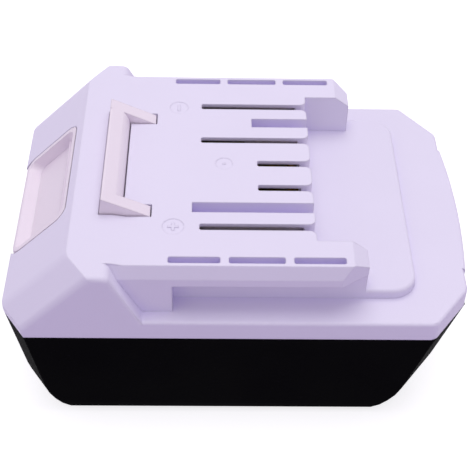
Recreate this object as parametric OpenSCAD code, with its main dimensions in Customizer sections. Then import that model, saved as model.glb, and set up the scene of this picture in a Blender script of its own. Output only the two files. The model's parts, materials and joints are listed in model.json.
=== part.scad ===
// Slide-on battery pack for a cordless power tool
// +X to the rear, which goes into the tool first; +Z up; origin at the bottom centre of the pack

/* [Cells] */
// Diameter of one cell in its sleeve
cell_d = 18.3; // [18:0.1:18.8]
// Length of one cell over its cap
cell_l = 65; // [63:0.5:68]
// Gap between neighbouring cells
cell_gap = 0.3; // [0.2:0.1:1]
// Wall of a cell holder around the row of cells
holder_wall = 0.8; // [0.6:0.1:1.4]
// Depth of a cell holder along the cells
holder_depth = 21; // [14:0.5:26]
// Thickness of the plate that closes a cell holder
end_plate = 1.2; // [0.8:0.1:1.6]

/* [Case] */
// Wall thickness of both shells
wall = 2.2; // [1.8:0.1:2.5]
// Clearance between pieces that slide
clearance = 0.3; // [0.25:0.05:0.45]
// Room from the front of the case to the cell holders
front_bay = 12.9; // [12.7:0.1:17]
// Room from the cell holders to the flat of the rear end
rear_bay = 14.9; // [14.6:0.1:20]
// Room from the end of a cell to the side of the case, at the seam
side_bay = 5; // [4.8:0.1:8]
// Room from the top of the cell holders to the seam
head_room = 4.8; // [4.2:0.1:8]
// Height of the deck above the seam
deck_rise = 5; // [4.6:0.1:8]
// Height of the platform above the deck
platform_rise = 2.4; // [1:0.1:3]
// Distance of the platform from the flat of the rear end
platform_setback = 11.9; // [8:0.1:16]
// Corner radius of the platform
platform_r = 5.5; // [3:0.5:8]
// Radius of the edge round the platform
platform_edge_r = 0.8; // [0.3:0.1:1]
// Lean of the front end of the lower case, in degrees
front_lean = 9.2; // [4:0.1:9.6]
// Lean of the rear end of the lower case, in degrees
rear_lean = 15.2; // [6:0.1:15.6]
// How much each side of the lower case draws in towards its bottom
side_draw = 0.8; // [0:0.1:1]
// Radius of the bottom edges along the sides
bottom_r = 3; // [2.6:0.1:4.4]
// Radius of the bottom edge at the front end
front_r = 9.3; // [5:0.1:10]
// Radius of the bottom edge at the rear end
rear_r = 9.7; // [5:0.1:10]
// Radius of the edge round the deck
deck_r = 0.7; // [0.5:0.1:2]
// Width of the bowed panel on the rear end
panel_w = 41.2; // [30:0.2:46]
// How far the bowed panel stands proud at its two edges
panel_edge = 0.4; // [0.2:0.1:1]
// How far the bowed panel swells at its middle
panel_bow = 1.2; // [0.4:0.1:2]

/* [Nose] */
// Height of the lip above the seam
lip_rise = 2.7; // [2.2:0.1:4]
// Run of the sloped front face, from the front of the case
nose_run = 15.5; // [14.7:0.1:16.5]
// Height of the nose above the rails
nose_step = 0.5; // [0.2:0.1:1]
// Distance of the top of the shoulders from the front of the case
shoulder_x = 24.5; // [23.4:0.1:25.4]
// Run of the sloped rear face of the shoulders
shoulder_run = 6.8; // [4:0.1:8]
// Radius of the rear edge of the shoulders
shoulder_r = 2; // [1:0.1:4]
// Length of the blend between the nose and the rails
blend_l = 2.9; // [1:0.1:4]

/* [Rails] */
// Height of the rails above the deck
rail_rise = 13; // [12:0.1:16]
// Width across the two flanges
flange_w = 68; // [66:0.2:70]
// Width across the two webs
web_w = 59.5; // [57:0.1:60.5]
// Thickness of a flange
flange_t = 5.1; // [4.2:0.1:5.6]
// Height of the chamfer along a flange
flange_chamfer_h = 3; // [1.5:0.1:3.4]
// Width of the chamfer along a flange
flange_chamfer_w = 1.4; // [0.5:0.1:2]
// Clear width between the rails behind the contacts
bay_w = 49.8; // [48:0.2:51]
// Distance of the rear end of the rails from the front of the case
rail_end = 80.2; // [77.4:0.1:83.4]
// Length of the chamfer on the end of a rail
rail_end_chamfer = 3.5; // [1:0.1:5]
// Depth of the chamfer on the end of a rail
rail_end_drop = 2.7; // [1:0.1:4]
// Length of the corner cut on the end of a flange
flange_cut = 6; // [2:0.1:8]
// Length of the stop block under each rail, behind the shoulder
stop_l = 6.6; // [3:0.1:10]
// Width of the three pockets in each rail
pocket_w = 1.8; // [1.2:0.1:2.2]
// Depth of the pockets
pocket_depth = 2.6; // [1:0.1:3.2]
// Length of the middle pocket
pocket_mid_l = 12; // [8:0.1:12.4]
// Length of the two outer pockets
pocket_end_l = 11.1; // [8:0.1:11.5]
// Distance of the middle pocket's centre from the front of the case
pocket_mid_x = 56; // [54.4:0.1:57.4]
// Distance between the centres of the pockets
pocket_pitch = 13.4; // [13:0.1:14]

/* [Contacts] */
// Distance of the finger tips from the front of the case
tip_x = 69.1; // [67.4:0.1:71.4]
// Width of a contact slot
slot_w = 1.9; // [1.4:0.1:2.2]
// Lead-in radius at the mouth of a contact slot
slot_lead = 1.5; // [0.4:0.1:1.8]
// Thickness of the roof along the contact slots
slot_roof = 1; // [0.8:0.1:1.6]
// Width of a guide groove
groove_w = 3.1; // [2.4:0.1:3.6]
// Depth of a guide groove
groove_depth = 4; // [2.5:0.1:5]
// Side position of the two outer contacts
outer_contact_y = 20.9; // [20.4:0.1:21.4]
// Side position of the two guide grooves
groove_y = 14.75; // [14.5:0.05:15]
// Side position of the two inner contacts
inner_contact_y = 8.25; // [8:0.05:8.6]
// Length of a long contact slot
long_slot = 25.5; // [22:0.1:27]
// Length of a short contact slot
short_slot = 12.4; // [11:0.1:14]
// Length of the long guide groove
long_groove = 27.2; // [20:0.1:29]
// Length of the short guide groove
short_groove = 13.4; // [10:0.1:16]
// Thickness of the contact leaves
leaf_t = 0.8; // [0.5:0.1:0.9]
// Least gap between two contact leaves
pinch = 0.5; // [0.3:0.1:0.8]
// Width across a contact
contact_w = 3.8; // [3.4:0.1:4]

/* [Latch] */
// Travel of the latch
latch_travel = 5; // [4.5:0.1:5.2]
// Height of the hook above the nose
hook_rise = 4.2; // [3:0.1:4.3]
// Distance of the hook's front from the front of the case
hook_x = 21.5; // [21:0.1:22]
// Thickness of the hook's bar
hook_bar = 5; // [4:0.1:5.4]
// Length of the hook with its arms
hook_l = 11.2; // [10:0.1:12]
// Outer width of the hook
hook_w = 35.2; // [30:0.2:36]
// Thickness of each arm of the hook
hook_arm = 3.3; // [2.5:0.1:4]
// Clearance round the hook and the finger panel
latch_gap = 0.3; // [0.25:0.05:0.45]
// Width of the finger panel
button_w = 31.6; // [26:0.1:32]
// Distance of the panel's upper edge behind the lip
button_run = 13.6; // [12:0.1:13.6]
// Corner radius of the finger panel
button_r = 2.4; // [1.5:0.1:4]
// Rim round the finger recess
button_rim = 1.2; // [0.8:0.1:1.8]
// Depth of the finger recess, square to the slope
recess_depth = 2.6; // [1.5:0.1:2.8]
// Corner radius of the finger recess
recess_r = 2.2; // [1:0.1:3]
// Length of the ramp at the lower end of the finger recess
recess_ramp = 1.8; // [1.2:0.1:4]
// Wire of the latch springs
spring_wire = 0.8; // [0.6:0.1:0.9]
// Mean diameter of the latch springs
spring_d = 5.2; // [4.8:0.1:5.6]
// Distance of each spring from the middle
spring_y = 9; // [7:0.1:9.5]
// Distance of the springs from the front of the case
spring_setback = 9.8; // [9.6:0.1:10]
// Height of the spring posts
post_top = 16; // [14:0.1:17]

/* [Electronics] */
// Thickness of the circuit board
board_t = 1.6; // [1:0.1:2]
// Height of the board posts on the cell holders
board_post_h = 2; // [1.5:0.1:2.6]
// Width of the circuit board
board_w = 52; // [49:0.5:54]
// Distance of the board's ends from the ends of the cell holders
board_inset = 5.5; // [3:0.1:7]
// Thickness of the nickel strips
strip_t = 0.2; // [0.15:0.05:0.3]
// Width of the nickel strips
strip_w = 8; // [6:0.5:10]
// Thickness of the insulating sheets
sheet_t = 0.3; // [0.2:0.05:0.4]
// Thickness of the foam pads under the cells
pad_t = 0.8; // [0.5:0.1:1.5]

/* [Screws] */
// Thread diameter of the case screws
screw_d = 2.6; // [2.2:0.1:3]
// Head diameter of the case screws
screw_head_d = 4.6; // [4:0.1:4.8]
// Height of the heads of the case screws
screw_head_h = 1.8; // [1.4:0.1:2.4]
// Length of the case screws below the head
screw_l = 21; // [19:0.5:22]
// Diameter of the screw columns and bosses
column_d = 6.4; // [6:0.1:6.6]
// Height of the screw seats above the bottom
seat_z = 9; // [8:0.1:10]
// Height at which the screw columns meet the bosses
boss_z = 20; // [17:0.1:21]
// Distance of the front screws from the front of the case
front_screw_x = 9.1; // [8.8:0.1:9.4]
// Side position of the front screws
front_screw_y = 27.5; // [26:0.1:28.5]
// Side position of the rear screws
rear_screw_y = 24.5; // [22:0.1:25]
// Diameter of the board screws
board_screw_d = 1.8; // [1.6:0.1:2]

/* [Hidden] */
$fn = 48;
eps = 0.01;
// How far a cut or an overlap runs past a face
over = 1;
cell_count = 4;

// Corner cuts of the case in plan, as [along X, along Y]
front_cut = [5, 7.1];
rear_cut = [8.3, 10.6];
// Draw of the case sides from the seam to the top of the nose
side_draft = 0.3;
// Tongue on the rim of the lower case
tongue_h = 1.4;
tongue_gap = 0.15;
// Clearance of pieces that are pushed together once and stay
seat_gap = 0.15;

// Cell row, from the inside out
cell_pitch = cell_d + cell_gap;
bore_d = cell_d + 2 * seat_gap;
row_l = (cell_count - 1) * cell_pitch + bore_d + 2 * holder_wall;
holder_h = bore_d + 2 * holder_wall;
holder_y = cell_l / 2 + seat_gap + end_plate;
strip_y = holder_y + strip_t;
sheet_gap = 0.05;
sheet_y = strip_y + sheet_gap + sheet_t;

// Lengths of the case
flat_l = front_bay + row_l + rear_bay;
body_l = flat_l + panel_edge + panel_bow;
half_w = cell_l / 2 + side_bay;
front_x = -body_l / 2;
rear_x = front_x + flat_l;
row_x = front_x + front_bay;
row_end = row_x + row_l;
function cell_x(i) = row_x + holder_wall + bore_d / 2 + (i - 1) * cell_pitch;

// Heights of the case
holder_z = wall + pad_t;
cell_z = holder_z + holder_h / 2;
holder_top = holder_z + holder_h;
board_z = holder_top + board_post_h;
board_top = board_z + board_t;
seam_z = holder_top + head_room;
lip_z = seam_z + lip_rise;
deck_z = seam_z + deck_rise;
platform_z = deck_z + platform_rise;
rail_z = deck_z + rail_rise;
nose_z = rail_z + nose_step;
flange_z = rail_z - flange_t;
roof_z = rail_z - wall;

// Nose
nose_x = front_x + nose_run;
shoulder_top_x = front_x + shoulder_x;
slope = (nose_x - front_x) / (nose_z - lip_z);
slope_wall = wall * sqrt(1 + slope * slope);
shoulder_slope = shoulder_run / (nose_z - deck_z);
shoulder_wall = wall * sqrt(1 + shoulder_slope * shoulder_slope);
function slope_x(z) = front_x + slope * (z - lip_z);
function slope_z(x) = lip_z + (x - front_x) / slope;
// Front of the case at height z, which leans back below the lip
function front_at(z) = front_x + tan(front_lean) * (lip_z - z);
function shoulder_at(z) = shoulder_top_x + shoulder_slope * (nose_z - z);
shoulder_foot = shoulder_at(deck_z);
shoulder_turn = 90 - atan(shoulder_slope);
shoulder_flat_x = shoulder_top_x - shoulder_r * tan(shoulder_turn / 2);
// How far the sides of the upper case have drawn in at height z
function side_in(z) = side_draft * (z - seam_z) / (nose_z - seam_z);
deck_edge_in = side_in(deck_z - deck_r);
deck_start = shoulder_foot - 8;

// Rails and contact housing
web = web_w / 2;
flange = flange_w / 2;
bay = bay_w / 2;
tips = front_x + tip_x;
rail_end_x = front_x + rail_end;
platform_x = rear_x - platform_setback;
housing_end = tips - wall;
slot_sill = 1;
slot_floor = platform_z + slot_sill;
pocket_inset = 1;
pocket_y = (web + flange) / 2 - pocket_inset;
groove_wall = 1.6;
flange_end = 0.45;

// Latch
button_top_x = front_x + button_run;
hook_front = front_x + hook_x;
hook_end = hook_front + hook_l;
crest_z = nose_z + hook_rise;
hook_lean = 0.6;
hook_front_gap = 0.1;
panel_top_gap = 0.15;
panel_setback = 0.35;
bar_drop = 0.2;
crest_x = hook_front + hook_lean;
plate_t = 2.6;
plate_top = slope_z(button_top_x) - slope_wall / slope - 3 * clearance;
plate_z = plate_top - plate_t;
plate_edge = 1.9;
plate_hw = hook_w / 2 + plate_edge;
guide_t = 1.6;
panel_back = 2.4;
panel_t = recess_depth + panel_back;
panel_drop = panel_t * sqrt(1 + slope * slope) / slope;
lip_t = 1.5;
recess_draft = 0.6;
recess_sill = 1.2;
skirt_t = 1.2;
notch_gap = 0.4;
notch_z = lip_z - lip_t - latch_travel - notch_gap;
skirt_lap = 1.2;
skirt_z = notch_z - skirt_lap;
skirt_x = front_at(skirt_z - latch_travel) + wall + clearance;
shelf_t = 2;
// Plate that carries the hook, and its gap to the rear wall of its opening
plate_lap = 2;
plate_start = 1.2;
plate_gap = 0.2;
spring_x = front_x + spring_setback;
spring_l = 15;
spring_top = post_top + spring_l;
spring_turns = 5;
post_d = 6.6;
peg_d = 3.4;
peg_h = 2.5;

// Electronics
board_x = row_x + board_inset;
board_end = row_end - board_inset;
block_h = 6;
contact_gap = 0.4;
contact_drop = 2.4;
block_top = board_top + block_h;
contact_base = block_top + seat_gap;
contact_top = roof_z - contact_drop;
contact_end = housing_end - contact_gap;
stem_l = 6;
sensor_d = 2.4;

// Screws
screw_tip = seat_z + screw_l;
column_gap = 0.4;
rear_screw_x = row_end + column_d / 2 + column_gap;
screw_places = [[front_x + front_screw_x, front_screw_y], [front_x + front_screw_x, -front_screw_y],
    [rear_screw_x, rear_screw_y], [rear_screw_x, -rear_screw_y]];
board_screw_inset = 4;
board_screw_places = [for (i = [1, cell_count - 1], s = [-1, 1])
    [cell_x(i) + cell_pitch / 2, s * (board_w / 2 - board_screw_inset)]];
board_screw_l = 5.4;
// Room round a screw in its clearance hole, and round and past its thread in its pilot hole
hole_gap = 0.6;
pilot_gap = 0.1;
pilot_extra = 0.8;
// Gap between a column and its boss, so that the seam closes first
joint_gap = 0.2;

upper_colour = [0.90, 0.87, 0.96];
latch_colour = [0.93, 0.88, 0.92];
lower_colour = [0.05, 0.05, 0.06];
steel_colour = [0.75, 0.75, 0.78];
brass_colour = [0.80, 0.66, 0.36];

// Extrusions along the other two axes
module along_x(x0, x1) {
    translate([x0, 0, 0]) rotate([90, 0, 90]) linear_extrude(x1 - x0) children();
}
module along_y(w) {
    rotate([90, 0, 0]) linear_extrude(w, center = true) children();
}
module from_y(y0, y1) {
    translate([0, y1, 0]) rotate([90, 0, 0]) linear_extrude(y1 - y0) children();
}
module on_side(side) {
    mirror([0, side < 0 ? 1 : 0, 0]) children();
}
module mirrored_y() {
    children();
    mirror([0, 1, 0]) children();
}
module rod_y(x, z, y0, y1, d) {
    translate([x, y0, z]) rotate([-90, 0, 0]) cylinder(d = d, h = y1 - y0);
}
// Solid through a stack of rings that have the same number of points, lowest ring first
module loft(rings) {
    n = len(rings[0]);
    last = len(rings) - 1;
    polyhedron([for (r = rings) each r], concat([[for (k = [0:n - 1]) k]],
        [for (i = [0:last - 1], k = [0:n - 1]) each let(a = n * i + k, b = n * i + (k + 1) % n)
            [[a, a + n, b + n], [a, b + n, b]]],
        [[for (k = [n - 1:-1:0]) n * last + k]]));
}
function raised(points, z) = [for (p = points) [p[0], p[1], z]];
// Ring of a rectangle with round corners
function soft_ring(lo, hi, r) = [for (c = [[hi[0] - r, lo[1] + r, -90], [hi[0] - r, hi[1] - r, 0],
    [lo[0] + r, hi[1] - r, 90], [lo[0] + r, lo[1] + r, 180]], a = [0:15:90])
    [c[0] + r * cos(c[2] + a), c[1] + r * sin(c[2] + a)]];
module box(lo, hi) {
    translate(lo) cube(hi - lo);
}
module rounded_plan(lo, hi, r) {
    translate([lo[0] + r, lo[1]]) square([hi[0] - lo[0] - 2 * r, hi[1] - lo[1]]);
    translate([lo[0], lo[1] + r]) square([hi[0] - lo[0], hi[1] - lo[1] - 2 * r]);
    for (x = [lo[0] + r, hi[0] - r], y = [lo[1] + r, hi[1] - r]) translate([x, y]) circle(r);
}

// How far a corner cut runs along one edge once the outline has moved in by d
function cut_run(c, other, d) = c * (1 + d * sqrt(1 / (c * c) + 1 / (other * other)) - d / other);
// Outline in plan between x0 and x1 with cut corners, moved in by d
function outline(x0, x1, hw, d = 0) = let(
    fx = cut_run(front_cut[0], front_cut[1], d), fy = cut_run(front_cut[1], front_cut[0], d),
    rx = cut_run(rear_cut[0], rear_cut[1], d), ry = cut_run(rear_cut[1], rear_cut[0], d))
    [[x0 + fx, -hw + d], [x1 - rx, -hw + d], [x1 - d, -hw + ry], [x1 - d, hw - ry],
     [x1 - rx, hw - d], [x0 + fx, hw - d], [x0 + d, hw - fy], [x0 + d, -hw + fy]];
// How far an edge of radius r has drawn in at height z above its bottom
function edge_in(r, z) = z < r ? r - sqrt(r * r - (r - z) * (r - z)) : 0;
// Outline of the lower case at height z, moved in by d
function tub_rear(z, d = 0) = rear_x - tan(rear_lean) * (seam_z - z) - edge_in(rear_r - d, z - d);
function tub_outline(z, d = 0) = outline(front_at(z) + edge_in(front_r - d, z - d), tub_rear(z, d),
    half_w - side_draw * (seam_z - z) / seam_z - edge_in(bottom_r - d, z - d), d);
// Heights of the rings round the bottom edges, close together where the edges turn most
tub_steps = 7;
function tub_heights(d) = [for (i = [0:tub_steps]) d + (rear_r - d) * pow(i / tub_steps, 2)];
// Outline of the deck behind the nose, moved in by d
function deck_outline(d) = let(
    rx = cut_run(rear_cut[0], rear_cut[1], d), ry = cut_run(rear_cut[1], rear_cut[0], d))
    [[deck_start, -half_w + d], [rear_x - rx, -half_w + d], [rear_x - d, -half_w + ry],
     [rear_x - d, half_w - ry], [rear_x - rx, half_w - d], [deck_start, half_w - d]];
// Outline of the nose, square at its rear
function nose_outline(x0, x1, hw) = [[x0, -hw + front_cut[1]], [x0 + front_cut[0], -hw], [x1, -hw],
    [x1, hw], [x0 + front_cut[0], hw], [x0, hw - front_cut[1]]];

// Bowed panel on the rear end, in plan, for a rear face at x; share says how far it stands out
panel_steps = 8;
function panel_ring(x, share = 1) = concat([[x - wall, panel_w / 2], [x - wall, -panel_w / 2]],
    [for (i = [-panel_steps:panel_steps]) let(u = i / panel_steps)
        [x + share * (panel_edge + panel_bow * (1 - u * u)), u * panel_w / 2]]);
// The panel sinks into the rounded bottom edge
panel_sink = 0.5;
function panel_share(z) = z < rear_r ? (1 + panel_sink) * z / rear_r - panel_sink : 1;

// Opening for the finger panel, and the hook grown by d
module button_opening() {
    hw = button_w / 2 + latch_gap;
    rounded_plan([front_x - latch_gap, -hw], [button_top_x + panel_top_gap, hw], button_r + latch_gap);
    translate([front_x - over, -button_w / 2 + button_r])
        square([2 * over, button_w - 2 * button_r]);
}
module hook_plan(d, front) {
    translate([hook_front - front, -hook_w / 2 - d]) square([hook_bar + front + d, hook_w + 2 * d]);
    for (s = [-1, 1]) translate([hook_front - front, s * (hook_w - hook_arm) / 2 - hook_arm / 2 - d])
        square([hook_l + front + d, hook_arm + 2 * d]);
}

// Sections of the contact housing with both rails, and of one rail behind it
function rail_side(s) = [[s * web, deck_z - wall / 2], [s * web, flange_z], [s * flange, flange_z],
    [s * flange, rail_z - flange_chamfer_h], [s * (flange - flange_chamfer_w), rail_z]];
module housing_section() {
    far = rail_side(-1);
    polygon(concat(rail_side(1), [for (i = [len(far) - 1:-1:0]) far[i]]));
}
module rail_section() {
    polygon(concat([[bay, deck_z - wall / 2]], rail_side(1), [[bay, rail_z]]));
}

// Contact slots and guide grooves, as [side position, length]
contact_slots = [[outer_contact_y, long_slot], [inner_contact_y, long_slot], [0, short_slot],
    [-inner_contact_y, short_slot], [-outer_contact_y, long_slot]];
guide_grooves = [[groove_y, short_groove], [-groove_y, long_groove]];
module slot_plan(y, l) {
    rounded_plan([tips - l, y - slot_w / 2], [tips + over, y + slot_w / 2], slot_w / 4);
    difference() {
        translate([tips - slot_lead, y - slot_w / 2 - slot_lead])
            square([slot_lead + over, slot_w + 2 * slot_lead]);
        for (s = [-1, 1]) translate([tips - slot_lead, y + s * (slot_w / 2 + slot_lead)]) circle(slot_lead);
    }
}

// Upper case
function platform_ring(d) = soft_ring([tips - 3 * platform_r, -web + d], [platform_x - d, web - d],
    platform_r - d);
module nose() {
    loft(concat([raised(nose_outline(front_at(seam_z), shoulder_at(seam_z), half_w), seam_z),
        raised(nose_outline(front_x, shoulder_at(lip_z), half_w - side_in(lip_z)), lip_z)],
        [for (i = [5:-1:0]) let(t = shoulder_turn * i / 5, z = nose_z - shoulder_r * (1 - cos(t)))
            raised(nose_outline(slope_x(z), shoulder_flat_x + shoulder_r * sin(t),
                half_w - side_in(z)), z)]));
    along_y(flange_w - 2 * flange_chamfer_w) polygon([[shoulder_flat_x - over, rail_z - over],
        [shoulder_flat_x - over, nose_z], [shoulder_top_x, nose_z],
        [shoulder_top_x + blend_l, rail_z], [shoulder_top_x + blend_l, rail_z - over]]);
}
module deck() {
    loft(concat([raised(deck_outline(0), seam_z)],
        [for (a = [0:15:90]) raised(deck_outline(deck_edge_in + deck_r * (1 - cos(a))),
            deck_z - deck_r + deck_r * sin(a))]));
    loft(concat([raised(panel_ring(rear_x), seam_z)],
        [for (a = [0:15:90]) raised(panel_ring(rear_x - deck_edge_in - deck_r * (1 - cos(a))),
            deck_z - deck_r + deck_r * sin(a))]));
}
module platform() {
    r = platform_edge_r;
    loft(concat([raised(platform_ring(0), deck_z - wall / 2)],
        [for (a = [0:15:90]) raised(platform_ring(r * (1 - cos(a))), platform_z - r * (1 - sin(a)))]));
}
module rails() {
    along_x(shoulder_top_x - over, tips) housing_section();
    mirrored_y() {
        along_x(tips - over, rail_end_x) rail_section();
        box([shoulder_foot - 2 * stop_l / 3, web - over, deck_z - over],
            [shoulder_foot + stop_l, flange, flange_z + over]);
    }
}
module rail_cuts() {
    along_y(flange_w + 2 * over) polygon([[rail_end_x - rail_end_chamfer, rail_z],
        [rail_end_x, rail_z - rail_end_drop], [rail_end_x + over, rail_z - rail_end_drop],
        [rail_end_x + over, rail_z + over], [rail_end_x - rail_end_chamfer, rail_z + over]]);
    mirrored_y() {
        translate([0, 0, flange_z - over]) linear_extrude(flange_t + 2 * over)
            polygon([[rail_end_x - flange_cut, flange], [rail_end_x, web + flange_end],
                [rail_end_x + over, web + flange_end], [rail_end_x + over, flange + over],
                [rail_end_x - flange_cut, flange + over]]);
        translate([0, 0, rail_z - pocket_depth]) linear_extrude(pocket_depth + over)
            for (i = [-1:1]) let(l = i == 0 ? pocket_mid_l : pocket_end_l)
                translate([front_x + pocket_mid_x + i * pocket_pitch, pocket_y])
                    rounded_plan([-l / 2, -pocket_w / 2], [l / 2, pocket_w / 2], pocket_w / 4);
    }
}
module upper_cavity() {
    inner_x = front_at(seam_z) + wall;
    bend_z = lip_z + (inner_x - front_x - slope_wall) / slope;
    top_z = nose_z - wall;
    loft([raised(nose_outline(inner_x, shoulder_at(seam_z) - shoulder_wall, half_w - wall), seam_z - over),
        raised(nose_outline(inner_x, shoulder_at(bend_z) - shoulder_wall, half_w - wall), bend_z),
        raised(nose_outline(slope_x(top_z) + slope_wall, shoulder_at(top_z) - shoulder_wall,
            half_w - side_draft - wall), top_z)]);
    translate([0, 0, seam_z - over]) linear_extrude(deck_rise - wall + over)
        polygon(deck_outline(wall + side_draft));
    box([shoulder_top_x - 3, -web + wall, seam_z], [housing_end, web - wall, roof_z]);
    box([tips, -web + 2 * wall, seam_z], [platform_x - 2 * wall, web - 2 * wall, platform_z - wall]);
}
module upper_inside() {
    for (p = screw_places) translate([p[0], p[1], boss_z]) cylinder(d = column_d, h = rail_z - boss_z);
    mirrored_y() box([nose_x + over, plate_hw + clearance, deck_z + over],
        [hook_end - over, plate_hw + clearance + guide_t, nose_z]);
    for (g = guide_grooves) box([tips - g[1] - groove_wall, g[0] - groove_w / 2 - groove_wall,
        rail_z - groove_depth - groove_wall], [tips, g[0] + groove_w / 2 + groove_wall, rail_z]);
}
module upper_case() {
    color(upper_colour) difference() {
        union() {
            difference() {
                union() {
                    nose();
                    deck();
                    platform();
                    rails();
                }
                difference() {
                    upper_cavity();
                    upper_inside();
                }
            }
            for (p = screw_places) translate([p[0], p[1], boss_z])
                cylinder(d = column_d, h = seam_z - boss_z + wall);
        }
        rail_cuts();
        for (c = contact_slots) translate([0, 0, slot_floor]) linear_extrude(rail_z)
            slot_plan(c[0], c[1]);
        for (c = contact_slots) box([contact_x(c[1]) - leaf_t - over, c[0] - contact_w / 2 - clearance,
            roof_z - over], [contact_end, c[0] + contact_w / 2 + clearance, rail_z - slot_roof]);
        for (g = guide_grooves) box([tips - g[1], g[0] - groove_w / 2, rail_z - groove_depth],
            [tips + over, g[0] + groove_w / 2, rail_z + over]);
        translate([0, 0, seam_z - over]) linear_extrude(rail_z) button_opening();
        translate([0, 0, plate_top - latch_travel]) linear_extrude(rail_z)
            hook_plan(latch_gap, hook_front_gap);
        translate([0, 0, seam_z - over]) linear_extrude(tongue_h + tongue_gap + over) difference() {
            polygon(tub_outline(seam_z, wall / 2 - tongue_gap));
            polygon(tub_outline(seam_z, wall + tongue_gap));
        }
        for (p = screw_places) translate([p[0], p[1], boss_z - over])
            cylinder(d = screw_d + pilot_gap, h = screw_tip + pilot_extra - boss_z + over);
    }
}

// Lower case
module tub() {
    heights = concat(tub_heights(0), [seam_z]);
    loft([for (z = heights) raised(tub_outline(z), z)]);
    loft([for (i = [1:len(heights) - 1]) let(z = heights[i])
        raised(panel_ring(tub_rear(z), panel_share(z)), z)]);
}
// Room inside the lower case at a distance d from its outside
module tub_room(d) {
    loft([for (z = concat(tub_heights(d), [seam_z + over])) raised(tub_outline(z, d), z)]);
}
module tub_inside() {
    rib_y = 9;
    rib_top = cell_z + cell_d / 4;
    for (p = screw_places) translate([p[0], p[1], 0]) cylinder(d = column_d, h = boss_z - joint_gap);
    for (s = [-1, 1]) translate([spring_x, s * spring_y, 0]) {
        cylinder(d = post_d, h = post_top);
        cylinder(d = peg_d, h = post_top + peg_h);
    }
    mirrored_y() box([row_end + clearance, rib_y, 0], [rear_x, rib_y + wall, rib_top]);
}
module lower_case() {
    color(lower_colour) difference() {
        union() {
            difference() {
                tub();
                difference() {
                    tub_room(wall);
                    tub_inside();
                }
            }
            translate([0, 0, seam_z - over]) linear_extrude(tongue_h + over) difference() {
                polygon(tub_outline(seam_z, wall / 2));
                polygon(tub_outline(seam_z, wall));
            }
        }
        translate([0, 0, notch_z]) linear_extrude(rail_z) button_opening();
        for (p = screw_places) translate([p[0], p[1], -over]) {
            cylinder(d = screw_head_d + hole_gap, h = seat_z + over);
            cylinder(d = screw_d + hole_gap, h = boss_z + 2 * over);
        }
    }
}

// Release latch: finger panel, carrier and hook in one moulding
module finger_panel() {
    panel_x = front_x + panel_setback;
    foot_x = front_x + slope * (panel_drop - lip_t);
    foot_z = lip_z - lip_t;
    intersection() {
        linear_extrude(crest_z)
            rounded_plan([panel_x, -button_w / 2], [button_top_x, button_w / 2], button_r);
        along_y(button_w + 2 * over) polygon([[panel_x, slope_z(panel_x)],
            [button_top_x, slope_z(button_top_x)], [button_top_x, slope_z(button_top_x) - panel_drop],
            [foot_x, foot_z], [panel_x + front_at(foot_z) - front_x, foot_z]]);
    }
}
// Finger recess, in the plane of the slope
module finger_recess() {
    face_l = button_run * sqrt(1 + slope * slope) / slope;
    mouth = [[recess_sill, -button_w / 2 + button_rim], [face_l - button_rim, button_w / 2 - button_rim]];
    low_in = [recess_ramp, recess_draft];
    high_in = [recess_depth / slope + recess_draft, recess_draft];
    out = over / recess_depth;
    translate([front_x, 0, lip_z]) rotate([0, -atan(1 / slope), 0])
        loft([raised(soft_ring(mouth[0] + low_in, mouth[1] - high_in, recess_r - recess_draft),
            -recess_depth), raised(soft_ring(mouth[0] - out * low_in, mouth[1] + out * high_in,
                recess_r + out * recess_draft), over)]);
}
module hook() {
    bar_end = hook_front + hook_bar;
    intersection() {
        translate([0, 0, plate_top - over]) linear_extrude(crest_z) hook_plan(0, 0);
        along_y(hook_w + 2 * over) polygon([[hook_front, plate_z], [hook_front, nose_z], [crest_x, crest_z],
            [hook_end, rail_z - clearance], [hook_end, plate_z]]);
        union() {
            mirrored_y() box([hook_front, hook_w / 2 - hook_arm, plate_z],
                [hook_end, hook_w / 2, crest_z]);
            along_y(hook_w) polygon(concat([[hook_front, plate_z], [hook_front, crest_z]],
                [for (a = [0:9:90]) [crest_x + (bar_end - crest_x) * sin(a),
                    rail_z + (crest_z - bar_drop - rail_z) * cos(a)]], [[bar_end, plate_z]]));
        }
    }
}
module release_latch() {
    color(latch_colour) {
        inner_w = button_w / 2 - clearance;
        plate_end = hook_end - plate_gap;
        difference() {
            union() {
                finger_panel();
                box([skirt_x, -inner_w, skirt_z], [skirt_x + skirt_t, inner_w, lip_z + skirt_t]);
                box([skirt_x, -inner_w, spring_top],
                    [spring_x + post_d / 2, inner_w, spring_top + shelf_t]);
            }
            finger_recess();
        }
        for (s = [-1, 1]) translate([spring_x, s * spring_y, spring_top - peg_h])
            cylinder(d = peg_d, h = peg_h + over);
        box([button_top_x - plate_lap, -inner_w, plate_z], [button_top_x + plate_lap, inner_w, plate_top]);
        box([button_top_x + plate_start, -plate_hw, plate_z], [plate_end, plate_hw, plate_top]);
        mirrored_y() box([hook_front, hook_w / 2 - over, plate_z],
            [plate_end, plate_hw, roof_z - clearance]);
        hook();
    }
}

// Latch springs: one wire, wound round Z, with both ends standing square on their seats
spring_bend = 1;
spring_free = spring_l - 0.2;
spring_pitch = (spring_free - 2 * (spring_wire + spring_bend)) / spring_turns;
spring_r = spring_d / 2;
helix_z = spring_wire + spring_bend;
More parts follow.
